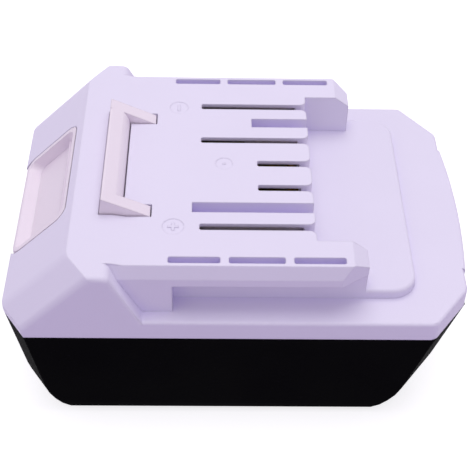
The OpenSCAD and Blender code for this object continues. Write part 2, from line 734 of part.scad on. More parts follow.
// Each station is [point, tangent, outward direction]
function stub(z, y) = [[spring_r, y, z], [0, 0, 1], [1, 0, 0]];
function turn_station(a) = [
    [spring_r * cos(a), spring_r * sin(a), helix_z + spring_pitch * a / 360],
    [-sin(a), cos(a), spring_pitch / (PI * spring_d)], [cos(a), sin(a), 0]];
spring_path = concat([stub(0, -spring_bend), stub(spring_wire, -spring_bend)],
    [for (a = [30, 60]) [[spring_r, -spring_bend * cos(a), spring_wire + spring_bend * sin(a)],
        [0, sin(a), cos(a)], [1, 0, 0]]],
    [for (a = [0:45:360 * spring_turns]) turn_station(a)],
    [for (a = [30, 60]) [[spring_r, spring_bend * sin(a), spring_free - spring_wire
        - spring_bend * cos(a)], [0, cos(a), sin(a)], [1, 0, 0]]],
    [stub(spring_free - spring_wire, spring_bend), stub(spring_free, spring_bend)]);
function ring(s) = let(t = s[1] / norm(s[1]), b = cross(t, s[2]))
    [for (k = [0:5]) s[0] + spring_wire / 2 * (cos(60 * k) * s[2] + sin(60 * k) * b)];
spring_last = len(spring_path) - 1;
spring_self_gap = min([for (i = [0:spring_last], j = [i + 6:1:spring_last])
    norm(spring_path[i][0] - spring_path[j][0])]) - spring_wire;
echo(spring_self_gap = spring_self_gap);
module latch_spring(side) {
    color(steel_colour) translate([spring_x, side * spring_y, post_top + 0.1]) polyhedron(
        [for (s = spring_path) each ring(s)],
        concat([for (i = [0:spring_last - 1], k = [0:5]) each let(n = (k + 1) % 6)
            [[6 * i + k, 6 * i + n, 6 * i + 6 + n], [6 * i + k, 6 * i + 6 + n, 6 * i + 6 + k]]],
            [for (k = [1:4]) [0, k + 1, k]],
            [for (k = [1:4]) [6 * spring_last, 6 * spring_last + k, 6 * spring_last + k + 1]]));
}

// Cells: odd cells have their positive cap towards +Y
cap_d = 8.4;
cap_h = 0.8;
function polarity(i) = i % 2 == 1 ? 1 : -1;
module along_cell(i) {
    translate([cell_x(i), 0, cell_z]) rotate([-90 * polarity(i), 0, 0]) children();
}
module cell(i) {
    r = cell_d / 2;
    h = cell_l / 2;
    bead = 0.45;
    color([0.30, 0.45, 0.75]) along_cell(i) rotate_extrude() polygon([[0, -h], [r - 0.6, -h],
        [r, -h + 0.6], [r, h - 5], [r - bead, h - 4.4], [r - bead, h - 3.6], [r, h - 3],
        [r, h - 1.6], [r - 0.8, h - cap_h], [cap_d / 2, h - cap_h], [cap_d / 2 - 0.2, h], [0, h]]);
}
module cell_rings() {
    color([0.92, 0.92, 0.88]) for (i = [1:cell_count]) along_cell(i)
        translate([0, 0, cell_l / 2 - cap_h]) difference() {
            cylinder(d = cell_d - 2, h = 0.25);
            translate([0, 0, -1]) cylinder(d = cap_d + 0.4, h = 3);
        }
}

// Cell holders, with posts for the board
module cell_holder(side) {
    y0 = holder_y - holder_depth;
    window_d = 11;
    slit_h = cell_d / 3;
    color([0.16, 0.16, 0.18]) on_side(side) difference() {
        union() {
            intersection() {
                from_y(y0, holder_y) rounded_plan([row_x, holder_z], [row_end, holder_top], 2.5);
                tub_room(wall + clearance);
            }
            for (p = board_screw_places) if (p[1] > 0) translate([p[0], p[1], holder_top - 1])
                cylinder(d = 5, h = board_post_h + 1);
        }
        for (i = [1:cell_count]) {
            rod_y(cell_x(i), cell_z, y0 - over, cell_l / 2 + seat_gap, bore_d);
            rod_y(cell_x(i), cell_z, y0, holder_y + over, window_d);
        }
        box([cell_x(1), y0 - over, cell_z - slit_h / 2],
            [cell_x(cell_count), cell_l / 2 + seat_gap, cell_z + slit_h / 2]);
        for (p = board_screw_places) if (p[1] > 0)
            translate([p[0], p[1], board_top - board_screw_l - pilot_gap])
                cylinder(d = board_screw_d + pilot_gap, h = board_screw_l);
    }
}

// Nickel strips: joins the listed cells on one side, with a tab over the board
module strip(side, cells, tab) {
    weld_d = 7;
    tab_w = 5;
    first = cell_x(cells[0]);
    last = cell_x(cells[len(cells) - 1]);
    color(steel_colour) on_side(side) {
        from_y(holder_y, strip_y) {
            rounded_plan([first - strip_w / 2, cell_z - strip_w / 2],
                [last + strip_w / 2, cell_z + strip_w / 2], 1);
            translate([cell_x(tab) - tab_w / 2, cell_z])
                square([tab_w, board_top + strip_t - cell_z]);
        }
        for (i = cells) rod_y(cell_x(i), cell_z, cell_l / 2, holder_y + eps, weld_d);
        box([cell_x(tab) - tab_w / 2, board_w / 2 - 2, board_top],
            [cell_x(tab) + tab_w / 2, strip_y, board_top + strip_t]);
    }
}
module sheet(side) {
    edge = 2.5;
    color([0.86, 0.80, 0.62]) on_side(side) from_y(sheet_y - sheet_t, sheet_y)
        rounded_plan([row_x + edge, holder_z + edge], [row_end - edge, holder_top - edge], 2);
}
module foam_pads() {
    edge = 6;
    color([0.22, 0.22, 0.22]) mirrored_y() translate([0, 0, wall]) linear_extrude(pad_t)
        rounded_plan([row_x + edge, holder_y - holder_depth + edge], [row_end - edge, holder_y - edge], 1);
}

// Board and what stands on it
module circuit_board() {
    color([0.10, 0.38, 0.22]) difference() {
        translate([0, 0, board_z]) linear_extrude(board_t)
            rounded_plan([board_x, -board_w / 2], [board_end, board_w / 2], 1.5);
        for (p = board_screw_places) translate([p[0], p[1], board_z - 1])
            cylinder(d = board_screw_d + hole_gap, h = board_t + 2 * over);
    }
}
chip_w = 9;
chip_h = 1.4;
chip_inset = 7;
chip_x = board_x + chip_inset;
transistor_y = 14;
transistor_size = [6.4, 6.6, 2.3];
transistor_tab = [1.8, 5.4, 0.6];
transistor_leg = [2.2, 0.8, 0.6];
transistor_pitch = 4.6;
leg_root = 0.2;
capacitor_d = 5;
capacitor_h = 4.4;
capacitor_foot = 5.4;
capacitor_foot_h = 0.7;
capacitor_pitch = 9;
capacitor_x = board_end - 8;
module control_chip() {
    color([0.12, 0.12, 0.13]) box([chip_x - chip_w / 2, -chip_w / 2, board_top],
        [chip_x + chip_w / 2, chip_w / 2, board_top + chip_h]);
}
module power_transistors() {
    half = transistor_size / 2;
    color([0.14, 0.14, 0.15]) for (s = [-1, 1]) translate([chip_x, s * transistor_y, board_top]) {
        box([-half[0], -half[1], 0], [half[0], half[1], transistor_size[2]]);
        box([-half[0] - transistor_tab[0], -transistor_tab[1] / 2, 0],
            [-half[0] + leg_root, transistor_tab[1] / 2, transistor_tab[2]]);
        for (y = [-transistor_pitch / 2, transistor_pitch / 2])
            box([half[0] - leg_root, y - transistor_leg[1] / 2, 0],
                [half[0] + transistor_leg[0], y + transistor_leg[1] / 2, transistor_leg[2]]);
    }
}
module capacitors() {
    foot = capacitor_foot / 2;
    color([0.70, 0.70, 0.74]) for (i = [-1:1])
        translate([capacitor_x, i * capacitor_pitch, board_top]) {
            cylinder(d = capacitor_d, h = capacitor_h);
            box([-foot, -foot, 0], [foot, foot, capacitor_foot_h]);
        }
}
module temperature_sensor() {
    seat = (cell_d + sensor_d) / 2 + 0.1;
    z = cell_z + sqrt(seat * seat - cell_pitch * cell_pitch / 4);
    color([0.20, 0.20, 0.20]) translate([cell_x(2) + cell_pitch / 2, 0, 0]) {
        translate([0, 0, z]) sphere(d = sensor_d);
        for (y = [-0.6, 0.6]) translate([0, y, z]) cylinder(d = 0.6, h = board_z - z);
    }
}

// Spring contacts and the block that holds their stems
function contact_x(l) = tips - l + 0.6;
module terminal_block() {
    color([0.13, 0.13, 0.14]) difference() {
        box([contact_x(long_slot) - leaf_t - 1.4, -outer_contact_y - contact_w / 2 - 1.2, board_top],
            [contact_end - 0.6, outer_contact_y + contact_w / 2 + 1.2, block_top]);
        for (c = contact_slots) box([contact_x(c[1]) - leaf_t - seat_gap,
            c[0] - contact_w / 2 - seat_gap, board_top - 1],
            [contact_x(c[1]) + stem_l + seat_gap, c[0] + contact_w / 2 + seat_gap, block_top + 1]);
    }
}
module contact(i) {
    x0 = contact_x(contact_slots[i][1]);
    h = contact_w / 2;
    pinch_x = contact_end - 3;
    leaf_root = 3;
    color(brass_colour) translate([0, contact_slots[i][0], 0]) {
        box([x0 - leaf_t, -h, board_top], [x0 + stem_l, h, contact_base + leaf_t]);
        translate([0, 0, contact_base]) linear_extrude(contact_top - contact_base) {
            translate([x0 - leaf_t, -h]) square([leaf_t, contact_w]);
            for (s = [-1, 1]) polygon([[x0 - eps, s * h], [x0 + leaf_root, s * h],
                [pinch_x, s * (pinch / 2 + leaf_t)], [contact_end, s * h],
                [contact_end, s * (h - leaf_t)], [pinch_x, s * pinch / 2],
                [x0 + leaf_root, s * (h - leaf_t)], [x0 - eps, s * (h - leaf_t)]]);
        }
    }
}

// Fasteners
module case_screws() {
    color(steel_colour) for (p = screw_places) translate([p[0], p[1], seat_z]) {
        cylinder(d = screw_d, h = screw_l);
        translate([0, 0, -screw_head_h]) difference() {
            cylinder(d = screw_head_d, h = screw_head_h);
            translate([0, 0, -1]) cylinder(d = 2.2, h = 2, $fn = 6);
        }
    }
}
module board_screws() {
    head_h = 1.2;
    color(steel_colour) for (p = board_screw_places) translate([p[0], p[1], board_top]) {
        difference() {
            cylinder(d = 3.6, h = head_h);
            box([-1.2, -0.25, head_h - 0.5], [1.2, 0.25, head_h + 1]);
            box([-0.25, -1.2, head_h - 0.5], [0.25, 1.2, head_h + 1]);
        }
        translate([0, 0, -board_screw_l]) cylinder(d = board_screw_d, h = board_screw_l + eps);
    }
}

upper_case();
lower_case();
release_latch();
latch_spring(-1);  // latch_spring_left
latch_spring(1);  // latch_spring_right
for (i = [1:cell_count]) cell(i);
cell_rings();
cell_holder(-1);  // cell_holder_left
cell_holder(1);  // cell_holder_right
strip(-1, [1], 1);  // strip_negative
strip(1, [1, 2], 2);  // strip_1_2
strip(-1, [2, 3], 3);  // strip_2_3
strip(1, [3, 4], 3);  // strip_3_4
strip(-1, [4], 4);  // strip_positive
sheet(-1);  // sheet_left
sheet(1);  // sheet_right
foam_pads();
circuit_board();
control_chip();
power_transistors();
capacitors();
temperature_sensor();
terminal_block();
contact(0);  // contact_negative
contact(1);  // contact_charge
contact(2);  // contact_data
contact(3);  // contact_sense
contact(4);  // contact_positive
case_screws();
board_screws();
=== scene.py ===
"""Looks of a slide-on battery pack: pale upper case, black lower case and a sprung release latch.

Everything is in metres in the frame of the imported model: +X to the rear end, +Y to the far side, +Z up.
"""

import json

import bmesh
import bpy
import numpy as np
from mathutils import Matrix, Vector


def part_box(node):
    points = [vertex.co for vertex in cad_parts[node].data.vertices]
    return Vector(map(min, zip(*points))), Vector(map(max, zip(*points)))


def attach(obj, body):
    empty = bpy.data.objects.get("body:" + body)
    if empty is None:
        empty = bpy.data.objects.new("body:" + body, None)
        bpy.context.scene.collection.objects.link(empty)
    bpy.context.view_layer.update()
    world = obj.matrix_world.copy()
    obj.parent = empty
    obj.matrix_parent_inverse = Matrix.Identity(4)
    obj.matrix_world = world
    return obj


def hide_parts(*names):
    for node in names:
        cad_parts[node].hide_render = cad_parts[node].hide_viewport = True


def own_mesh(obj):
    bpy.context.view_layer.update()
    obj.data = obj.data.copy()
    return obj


MM = 0.001

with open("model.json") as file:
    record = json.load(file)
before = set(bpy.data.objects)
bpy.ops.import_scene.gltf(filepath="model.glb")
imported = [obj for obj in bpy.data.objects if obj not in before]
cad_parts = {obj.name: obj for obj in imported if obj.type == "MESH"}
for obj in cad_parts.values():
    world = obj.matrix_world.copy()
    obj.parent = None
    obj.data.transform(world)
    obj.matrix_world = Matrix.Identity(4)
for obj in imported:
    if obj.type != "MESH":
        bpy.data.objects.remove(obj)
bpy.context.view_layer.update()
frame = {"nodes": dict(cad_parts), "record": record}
scene = bpy.context.scene


def placed(name, data):
    """Object at the origin for a mesh, lamp or camera."""
    thing = bpy.data.objects.new(name, data)
    scene.collection.objects.link(thing)
    return thing


# Camera at the photograph's place: azimuth, elevation and roll in degrees, and its place in millimetres
CAMERA_TURN = (-1.7465, 45.1242, 1.7112)
CAMERA_PLACE = (-6.4216, -189.2106, 212.6483)
CAMERA_LENS = 83.33
SENSOR_WIDTH = 36.0
NEAREST_SEEN = 10.0 * MM


def photo_camera():
    """Makes the camera. back points from the pack to the camera, right is z cross back, up is back cross
    right, and roll turns right and up about back."""
    azimuth, elevation, roll = np.radians(CAMERA_TURN)
    level = np.cos(elevation)
    back = np.array([np.sin(azimuth) * level, -np.cos(azimuth) * level, np.sin(elevation)])
    right = np.cross([0.0, 0.0, 1.0], back)
    right /= np.linalg.norm(right)
    up = np.cross(back, right)
    turned_right = right * np.cos(roll) + up * np.sin(roll)
    turned_up = up * np.cos(roll) - right * np.sin(roll)
    matrix = np.eye(4)
    matrix[:3, :3] = np.column_stack([turned_right, turned_up, back])
    matrix[:3, 3] = np.array(CAMERA_PLACE) * MM
    lens = bpy.data.cameras.new("photo_camera")
    lens.lens = CAMERA_LENS
    lens.sensor_width = SENSOR_WIDTH
    lens.clip_start = NEAREST_SEEN
    camera = placed("photo_camera", lens)
    camera.matrix_world = Matrix(matrix.tolist())
    scene.camera = camera


photo_camera()


# Node helpers for the materials
NOISE_SPAN = (0.3, 0.7)
EDGE_SAMPLES = 6
CORNER_SAMPLES = 16


class Finish:
    """One procedural material. Each method adds nodes and gives back the socket that carries the result."""

    def __init__(self, name):
        self.material = bpy.data.materials.new(name)
        self.material.use_nodes = True
        self.tree = self.material.node_tree
        self.shader = self.tree.nodes["Principled BSDF"]
        self.place = self.tree.nodes.new("ShaderNodeTexCoord").outputs["Object"]

    def wire(self, value, socket):
        """Links an output to a socket, or sets a constant on it."""
        if isinstance(value, bpy.types.NodeSocket):
            self.tree.links.new(value, socket)
        else:
            socket.default_value = value

    def set(self, **values):
        """Sets sockets of the shader: an underscore in a name stands for a space."""
        for name, value in values.items():
            self.wire(value, self.shader.inputs[name.replace("_", " ")])
        return self

    def noise(self, scale, detail=2.0, rough=0.5, place=None):
        """Soft noise from 0 to 1 with about scale lumps to the metre."""
        node = self.tree.nodes.new("ShaderNodeTexNoise")
        self.wire(place or self.place, node.inputs["Vector"])
        node.inputs["Scale"].default_value = scale
        node.inputs["Detail"].default_value = detail
        node.inputs["Roughness"].default_value = rough
        return node.outputs["Fac"]

    def stretched(self, scale):
        """Object coordinates multiplied by scale along each axis, for streaks."""
        node = self.tree.nodes.new("ShaderNodeMapping")
        self.wire(self.place, node.inputs["Vector"])
        node.inputs["Scale"].default_value = scale
        return node.outputs["Vector"]

    def cells(self, scale):
        """Distance to the nearest point of a scattered set with about scale points to the metre."""
        node = self.tree.nodes.new("ShaderNodeTexVoronoi")
        self.wire(self.place, node.inputs["Vector"])
        node.inputs["Scale"].default_value = scale
        return node.outputs["Distance"]

    def fit(self, value, low, high, out_low=0.0, out_high=1.0):
        """value carried from low..high to out_low..out_high, held at the ends."""
        node = self.tree.nodes.new("ShaderNodeMapRange")
        self.wire(value, node.inputs["Value"])
        node.inputs["From Min"].default_value = low
        node.inputs["From Max"].default_value = high
        node.inputs["To Min"].default_value = out_low
        node.inputs["To Max"].default_value = out_high
        return node.outputs["Result"]

    def about(self, value, middle, spread):
        """A noise that lies mostly within NOISE_SPAN, carried to middle - spread..middle + spread."""
        return self.fit(value, *NOISE_SPAN, middle - spread, middle + spread)

    def math(self, operation, a, b=0.0):
        """One sum of two values."""
        node = self.tree.nodes.new("ShaderNodeMath")
        node.operation = operation
        self.wire(a, node.inputs[0])
        self.wire(b, node.inputs[1])
        return node.outputs["Value"]

    def blend(self, share, low, high):
        """Colour from low to high by share."""
        node = self.tree.nodes.new("ShaderNodeMix")
        node.data_type = "RGBA"
        self.wire(share, node.inputs["Factor"])
        self.wire(low if isinstance(low, bpy.types.NodeSocket) else (*low, 1.0), node.inputs["A"])
        self.wire(high if isinstance(high, bpy.types.NodeSocket) else (*high, 1.0), node.inputs["B"])
        return node.outputs["Result"]

    def axis(self, name):
        """One coordinate of the object's place, in metres."""
        node = self.tree.nodes.new("ShaderNodeSeparateXYZ")
        self.wire(self.place, node.inputs["Vector"])
        return node.outputs[name]

    def facing(self, name):
        """One part of the surface's own direction."""
        geometry = self.tree.nodes.new("ShaderNodeNewGeometry")
        node = self.tree.nodes.new("ShaderNodeSeparateXYZ")
        self.wire(geometry.outputs["Normal"], node.inputs["Vector"])
        return node.outputs[name]

    def soft_edges(self, radius):
        """Surface direction as if each edge were rounded to radius in metres."""
        node = self.tree.nodes.new("ShaderNodeBevel")
        node.samples = EDGE_SAMPLES
        node.inputs["Radius"].default_value = radius
        return node.outputs["Normal"]

    def openness(self, reach):
        """How open a surface is to what lies within reach in metres: 1 on a plain face, less in a corner."""
        node = self.tree.nodes.new("ShaderNodeAmbientOcclusion")
        node.samples = CORNER_SAMPLES
        node.only_local = True
        node.inputs["Distance"].default_value = reach
        return node.outputs["AO"]

    def relief(self, height, depth, normal=None):
        """Gives the shader the direction of a surface whose height of 0 to 1 stands for depth in metres."""
        node = self.tree.nodes.new("ShaderNodeBump")
        self.wire(height, node.inputs["Height"])
        node.inputs["Distance"].default_value = depth
        if normal:
            self.wire(normal, node.inputs["Normal"])
        return self.set(Normal=node.outputs["Normal"])


# How far plastic sees itself in a corner for its painted corner shade, the openness at which that painted
# shade is full and at which the colour is plain, and how far its gloss drifts
PAINTED_SHADE_REACH = 5.0 * MM
PAINTED_SHADE_OPEN = (0.1, 0.8)
PLASTIC_GLOSS_DRIFT = 0.05

# Streaks of metal: how dark and how deep they are, and how far the gloss follows them
STREAK_SHADE = 0.88
STREAK_DEPTH = 0.006 * MM
STREAK_GLOSS_DRIFT = 0.08

# Where the sleeve of a cell ends, away from the pack's middle plane
SLEEVE_END = (31.2 * MM, 31.4 * MM)

# Copper tracks of the board to the metre, along X and along Y
LANES_TO_METRE = 620.0
CROSSINGS_TO_METRE = 510.0


def moulded(name, colour, rough, grain=2600.0, depth=0.02, shift=0.03, edge=0.2, corner=None, shine=0.35):
    """Moulded plastic: fine spark texture, slow drift of colour and gloss, flow clouds and soft edges. Where
    the plastic faces itself in a corner, painted shade mixes its colour towards corner. depth and edge are in
    millimetres."""
    f = Finish(name)
    drift = f.noise(38.0, detail=3.0)
    clouds = f.noise(9.0, detail=4.0, rough=0.6)
    dark = tuple(c * (1.0 - shift) for c in colour)
    light = tuple(min(1.0, c * (1.0 + shift)) for c in colour)
    tone_and_painted_shade = f.blend(f.fit(f.math("ADD", drift, clouds), 0.7, 1.3), dark, light)
    if corner:
        # Painted shade: the colour is darkened towards corner in corners and creases, where the surface faces
        # itself
        tone_and_painted_shade = f.blend(f.fit(f.openness(PAINTED_SHADE_REACH), *PAINTED_SHADE_OPEN), corner, tone_and_painted_shade)
    f.set(Base_Color=tone_and_painted_shade, Specular_IOR_Level=shine)
    f.set(Roughness=f.about(drift, rough, PLASTIC_GLOSS_DRIFT))
    return f.relief(f.noise(grain, rough=0.65), depth * MM, f.soft_edges(edge * MM))


def metal(name, colour, rough, streak=(40.0, 900.0, 900.0)):
    """Rolled or drawn metal: streaks along the axis with the smallest scale, and gloss that follows them."""
    f = Finish(name)
    lines = f.noise(1.0, detail=3.0, rough=0.6, place=f.stretched(streak))
    stain = f.noise(120.0, detail=3.0)
    dark = tuple(c * STREAK_SHADE for c in colour)
    f.set(Base_Color=f.blend(f.math("MULTIPLY", lines, stain), colour, dark))
    f.set(Metallic=1.0, Roughness=f.about(lines, rough, STREAK_GLOSS_DRIFT))
    return f.relief(lines, STREAK_DEPTH)


def cell_sleeve():
    """Blue shrink film with fine wrinkles round a cell, and bare steel on the flat of its two ends."""
    f = Finish("cell_sleeve")
    flat = f.fit(f.math("ABSOLUTE", f.facing("Y")), 0.78, 0.82)
    outermost = f.fit(f.math("ABSOLUTE", f.axis("Y")), *SLEEVE_END)
    end = f.math("MULTIPLY", flat, outermost)
    wrinkle = f.noise(1.0, detail=3.0, place=f.stretched((900.0, 120.0, 900.0)))
    film = f.blend(wrinkle, (0.020, 0.085, 0.30), (0.030, 0.120, 0.38))
    f.set(Base_Color=f.blend(end, film, (0.60, 0.60, 0.60)), Metallic=end)
    f.set(Roughness=f.about(wrinkle, 0.33, 0.07))
    return f.relief(wrinkle, 0.02 * MM)


def paper(name, pale, deep):
    """Insulating paper with fibres along X."""
    f = Finish(name)
    fibre = f.noise(1.0, detail=4.0, rough=0.65, place=f.stretched((420.0, 2000.0, 2000.0)))
    f.set(Base_Color=f.blend(fibre, deep, pale), Roughness=0.8, Specular_IOR_Level=0.2)
    return f.relief(fibre, 0.03 * MM)


def dark_foam():
    """Open foam, darker in its pores."""
    f = Finish("dark_foam")
    pores = f.cells(1900.0)
    f.set(Base_Color=f.blend(f.fit(pores, 0.1, 0.6), (0.012, 0.012, 0.012), (0.045, 0.045, 0.047)))
    f.set(Roughness=0.95, Specular_IOR_Level=0.1)
    return f.relief(pores, 0.2 * MM)


def solder_mask():
    """Green lacquer over copper tracks that run along X in some patches and along Y in the others."""
    f = Finish("solder_mask")
    lane = f.math("FRACT", f.math("MULTIPLY", f.axis("Y"), LANES_TO_METRE))
    crossing = f.math("FRACT", f.math("MULTIPLY", f.axis("X"), CROSSINGS_TO_METRE))
    patch = f.fit(f.noise(150.0, detail=0.0), 0.49, 0.51)
    along = f.math("MULTIPLY", f.fit(lane, 0.55, 0.60), patch)
    track = f.math("MAXIMUM", along, f.math("SUBTRACT", f.fit(crossing, 0.62, 0.66), patch))
    f.set(Base_Color=f.blend(track, (0.006, 0.070, 0.030), (0.016, 0.135, 0.060)))
    f.set(Roughness=f.about(f.noise(300.0), 0.28, 0.06), Coat_Weight=0.25)
    return f.relief(track, 0.03 * MM)


PALE = (0.790, 0.750, 0.880)
# Painted shade: the deeper violet that the pale case's colour turns to in its corners and creases
PALE_PAINTED_SHADE = (0.715, 0.655, 0.900)
LATCH_WHITE = (0.850, 0.770, 0.835)
# Painted shade: the darker colour that the latch's colour turns to in its corners and creases
LATCH_PAINTED_SHADE = (0.720, 0.620, 0.760)
CASE_BLACK = (0.0008, 0.0006, 0.0012)

# One material for each of the record's slots
finish_of = {
    "pale_case": moulded("pale_moulding", PALE, 0.50, shift=0.015, edge=0.5, corner=PALE_PAINTED_SHADE),
    "latch_plastic": moulded("latch_moulding", LATCH_WHITE, 0.42, 1800.0, 0.01, 0.015, 0.4, LATCH_PAINTED_SHADE),
    "black_case": moulded("black_moulding", CASE_BLACK, 0.75, 2200.0, 0.04, 0.2, 0.6, shine=0.02),
    "holder_plastic": moulded("holder_moulding", (0.030, 0.030, 0.034), 0.55, 1800.0, 0.03, 0.15),
    "chip_black": moulded("package_moulding", (0.018, 0.018, 0.020), 0.50, 5000.0, 0.01, 0.2),
    "block_plastic": moulded("block_moulding", (0.020, 0.020, 0.022), 0.45, 2400.0, 0.02, 0.15),
    "spring_steel": metal("spring_wire", (0.58, 0.58, 0.60), 0.28),
    "nickel": metal("nickel_strip", (0.62, 0.60, 0.56), 0.34),
    "contact_metal": metal("spring_brass", (0.72, 0.54, 0.24), 0.28),
    "screw_steel": metal("zinc_plate", (0.50, 0.50, 0.52), 0.36, (700.0, 700.0, 120.0)),
    "capacitor_can": metal("capacitor_can", (0.66, 0.66, 0.68), 0.32, (600.0, 600.0, 60.0)),
    "cell_sleeve": cell_sleeve(),
    "white_paper": paper("ring_paper", (0.80, 0.79, 0.74), (0.70, 0.69, 0.62)),
    "insulating_paper": paper("barley_paper", (0.60, 0.49, 0.28), (0.46, 0.36, 0.18)),
    "foam": dark_foam(),
    "board": solder_mask(),
}


def dress(piece, slot):
    """Gives a piece the finish of a slot."""
    piece.data.materials.clear()
    piece.data.materials.append(finish_of[slot].material)


for part in frame["record"]["subparts"]:
    dress(frame["nodes"][part["node"]], part["material_slot"])


def add_piece(piece, slot, body, node):
    """Finishes a new piece, lets it move with a body and stands it in for a CAD node."""
    dress(piece, slot)
    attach(piece, body)
    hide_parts(node)


def ring_quads(rings, size, closed=False):
    """Four-sided faces between rings of size points each, in order, and from the last ring to the first if
    closed."""
    i, k = np.meshgrid(np.arange(rings if closed else rings - 1), np.arange(size), indexing="ij")
    this, following = i * size, ((i + 1) % rings) * size
    m = (k + 1) % size
    return np.stack([this + k, this + m, following + m, following + k], axis=-1).reshape(-1, 4)


# Round marks sunk into the top of the rails, in millimetres: middle, radius and half sizes of the sign's bars
RAIL_TOP = 46.0
MARK_DEPTH = 0.15
MARK_DRAFT = 0.1
MARK_TURNS = 240
MARK_START = 0.001
SIGN_HALF = 0.3
SIGN_REACH = 1.15
ROUND_MARKS = (
    ("plus_mark", -14.85, -20.8, 2.4, ((SIGN_REACH, SIGN_HALF), (SIGN_HALF, SIGN_REACH))),
    ("minus_mark", -14.6, 20.4, 2.25, ((SIGN_HALF, SIGN_REACH),)),
    ("dot_mark", -3.7, 0.0, 2.0, ((SIGN_HALF, SIGN_HALF),)),
)


def mark_cutter(name, x, y, radius, bars):
    """Closed ring between a round wall and a sign, on a grid of turn p and four corners. The wall stands at
    radius; a bar's edge stands at the lesser of half_x / |cos p| and half_y / |sin p|, and the sign's at the
    greatest of its bars. Both walls lean by MARK_DRAFT. p starts just past 0, where no divisor is 0."""
    p = np.linspace(0.0, 2.0 * np.pi, MARK_TURNS, endpoint=False) + MARK_START
    edges = [np.minimum(half_x / np.abs(np.cos(p)), half_y / np.abs(np.sin(p))) for half_x, half_y in bars]
    sign = np.max(edges, axis=0)
    out = np.column_stack([np.cos(p), np.sin(p)])
    low, high = RAIL_TOP - MARK_DEPTH, RAIL_TOP + MARK_DEPTH
    corners = ((radius + MARK_DRAFT, high), (radius - MARK_DRAFT, low),
               (sign + MARK_DRAFT, low), (sign - MARK_DRAFT, high))
    loops = [np.column_stack([np.array([x, y]) + out * np.reshape(away, (-1, 1)), np.full(MARK_TURNS, z)])
             for away, z in corners]
    points = np.stack(loops, axis=1).reshape(-1, 3) * MM
    mesh = bpy.data.meshes.new(name)
    mesh.from_pydata(points.tolist(), [], ring_quads(MARK_TURNS, len(corners), closed=True).tolist())
    work = bmesh.new()
    work.from_mesh(mesh)
    bmesh.ops.recalc_face_normals(work, faces=work.faces)
    work.to_mesh(mesh)
    work.free()
    return placed(name, mesh)


def sink_marks(piece, cutters):
    """Takes the closed cutters out of a piece's mesh and removes them."""
    for cutter in cutters:
        sink = piece.modifiers.new(cutter.name, "BOOLEAN")
        sink.object = cutter
        sink.operation = "DIFFERENCE"
        sink.solver = "EXACT"
    plain = piece.data
    piece.data = bpy.data.meshes.new_from_object(piece.evaluated_get(bpy.context.evaluated_depsgraph_get()))
    piece.modifiers.clear()
    bpy.data.meshes.remove(plain)
    for cutter in cutters:
        bpy.data.meshes.remove(cutter.data)


# Moulded shells: points nearer than DOUBLE are one, faces flatter than FLAT are one, and faces that meet at
# less than SMOOTH shade as one
DOUBLE = 0.003 * MM
FLAT = np.radians(0.3)
SMOOTH = np.radians(20.0)
FILLET_STEPS = 8
NOSE_FILLET = 1.2 * MM
REAR_FILLET = 1.0 * MM

# Where the filleted edges of the upper case lie, in millimetres, and which way the faces beside them look
NOSE_BACK = -21.0
NOSE_HIGH = 40.0
NOSE_SIDE = 30.0
FLANK_SIDE = 36.9
FLANK_LOOK = 0.98
FACET_LOOK = (0.4, 0.5)
FACET_FORWARD = -0.5
TOP_LOOK = 0.99
REAR_FLANK_SIDE = 37.0
REAR_FLANK_X = 42.5
REAR_PANEL_SIDE = (26.7, 27.0)
REAR_PANEL_X = 50.6
UPRIGHT = 0.4


def corner_edges(work, chosen):
    """Outward edges that turn by more than SMOOTH and that chosen takes. It gets each edge, and the places of
    its ends in millimetres."""
    found = []
    for edge in work.edges:
        ends = np.array([vertex.co for vertex in edge.verts]) / MM
        if chosen(edge, ends) and edge.is_convex and edge.calc_face_angle() > SMOOTH:
            found.append(edge)
    return found


def on_nose(edge, ends):
    """True for the edges of the nose's two flanks, and between its corner facets and its front slope."""
    side = np.abs(ends[:, 1]).min()
    if ends[:, 0].max() >= NOSE_BACK or ends[:, 2].max() <= NOSE_HIGH or side <= NOSE_SIDE:
        return False
    looks = [face.normal for face in edge.link_faces]
    flank = any(abs(look.y) > FLANK_LOOK for look in looks)
    facet = any(FACET_LOOK[0] < abs(look.y) < FACET_LOOK[1] and look.x < FACET_FORWARD for look in looks)
    sloped = all(look.z < TOP_LOOK for look in looks)
    return (facet and sloped) or (flank and side > FLANK_SIDE)


def on_rear_corner(edge, ends):
    """True for the upright outer edges of the two cut rear corners, from the seam to the rim of the deck."""
    rise = np.ptp(ends[:, 2]) / (edge.calc_length() / MM)
    side = np.abs(ends[:, 1]).min()
    foremost = ends[:, 0].min()
    by_flank = side > REAR_FLANK_SIDE and foremost > REAR_FLANK_X
    by_panel = REAR_PANEL_SIDE[0] < side < REAR_PANEL_SIDE[1] and foremost > REAR_PANEL_X
    return rise > UPRIGHT and (by_flank or by_panel)


def moulded_shell(node, name, body, slot, fillets=(), cutters=()):
    """Copy of a CAD solid's mesh with its doubles merged, each fillet laid along the edges that it chooses,
    and the cutters taken out."""
    mesh = frame["nodes"][node].data.copy()
    mesh.name = name
    work = bmesh.new()
    work.from_mesh(mesh)
    bmesh.ops.remove_doubles(work, verts=work.verts, dist=DOUBLE)
    if fillets:
        bmesh.ops.dissolve_limit(work, angle_limit=FLAT, verts=work.verts, edges=work.edges)
    for chosen, width in fillets:
        work.normal_update()
        bmesh.ops.bevel(work, geom=corner_edges(work, chosen), offset=width, offset_type="OFFSET",
                        segments=FILLET_STEPS, profile=0.5, affect="EDGES")
    work.to_mesh(mesh)
    piece = placed(name, mesh)
    if cutters:
        sink_marks(piece, cutters)
        mesh = piece.data
        mesh.name = name
    work.clear()
    work.from_mesh(mesh)
    for edge in work.edges:
        edge.smooth = edge.calc_face_angle(np.pi) < SMOOTH
    for face in work.faces:
        face.smooth = True
    work.to_mesh(mesh)
    work.free()
    even = piece.modifiers.new("even_shading", "WEIGHTED_NORMAL")
    even.keep_sharp = True
    add_piece(piece, slot, body, node)


